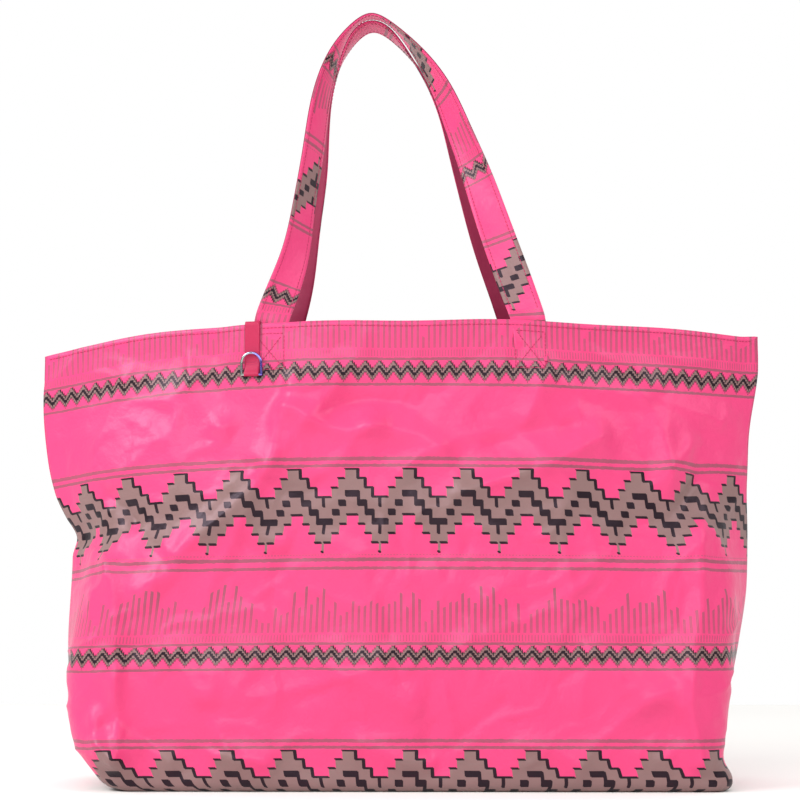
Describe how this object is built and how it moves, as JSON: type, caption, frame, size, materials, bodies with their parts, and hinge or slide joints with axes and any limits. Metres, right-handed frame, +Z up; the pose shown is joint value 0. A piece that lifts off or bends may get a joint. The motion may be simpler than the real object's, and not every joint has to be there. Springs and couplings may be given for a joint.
{
  "type": "tote bag",
  "caption": "Large open beach tote in printed nylon with a boxed base, two flat shoulder straps, a ribbon tab with a metal D-ring and an inner slip pocket.",
  "frame": {"origin": "centre of the base, on the surface the bag stands on", "axes": "+Z up, +X to the bag's right seen from its front, -Y towards the front"},
  "size_m": [0.6, 0.1648, 0.6447],
  "materials": {
    "printed_cloth": "satin",
    "plain_cloth": "satin",
    "binding_tape": "matte",
    "ribbon": "satin",
    "thread": "matte",
    "ring_metal": "polished"
  },
  "bodies": {
    "bag": {"front_panel": "printed_cloth", "front_rim_facing": "plain_cloth", "front_rim_stitch": "thread", "front_left_strap_end": "plain_cloth", "front_left_box_stitch": "thread", "front_right_strap_end": "plain_cloth", "front_right_box_stitch": "thread", "back_panel": "printed_cloth", "back_rim_facing": "plain_cloth", "back_rim_stitch": "thread", "back_left_strap_end": "plain_cloth", "back_left_box_stitch": "thread", "back_right_strap_end": "plain_cloth", "back_right_box_stitch": "thread", "left_side_binding": "binding_tape", "left_corner_binding": "binding_tape", "right_side_binding": "binding_tape", "right_corner_binding": "binding_tape", "bottom_binding": "binding_tape", "tab_end": "ribbon", "pocket_panel": "plain_cloth", "pocket_hem": "plain_cloth", "pocket_stitch": "thread"},
    "front_strap": {"front_strap_face": "printed_cloth", "front_strap_backing": "plain_cloth", "front_strap_stitch": "thread"},
    "back_strap": {"back_strap_face": "printed_cloth", "back_strap_backing": "plain_cloth", "back_strap_stitch": "thread"},
    "ring_tab": {"ring_tab": "ribbon", "tab_stitch": "thread"},
    "d_ring": {"d_ring": "ring_metal"}
  },
  "joints": [
    {"name": "front_strap_swing", "type": "hinge", "parent": "bag", "child": "front_strap", "pos_m": [0, -0.07446, 0.37553], "axis": [1, 0, 0], "range_deg": [0, 150]},
    {"name": "back_strap_swing", "type": "hinge", "parent": "bag", "child": "back_strap", "pos_m": [0, 0.07446, 0.37553], "axis": [-1, 0, 0], "range_deg": [0, 150]},
    {"name": "ring_tab_swing", "type": "hinge", "parent": "bag", "child": "ring_tab", "pos_m": [-0.11886, -0.07042, 0.37211], "axis": [-0.9784, 0.2069, 0], "range_deg": [0, 12]},
    {"name": "d_ring_flip", "type": "hinge", "parent": "ring_tab", "child": "d_ring", "pos_m": [-0.11912, -0.07166, 0.33059], "axis": [0.9784, -0.2069, 0], "range_deg": [0, 170]}
  ]
}
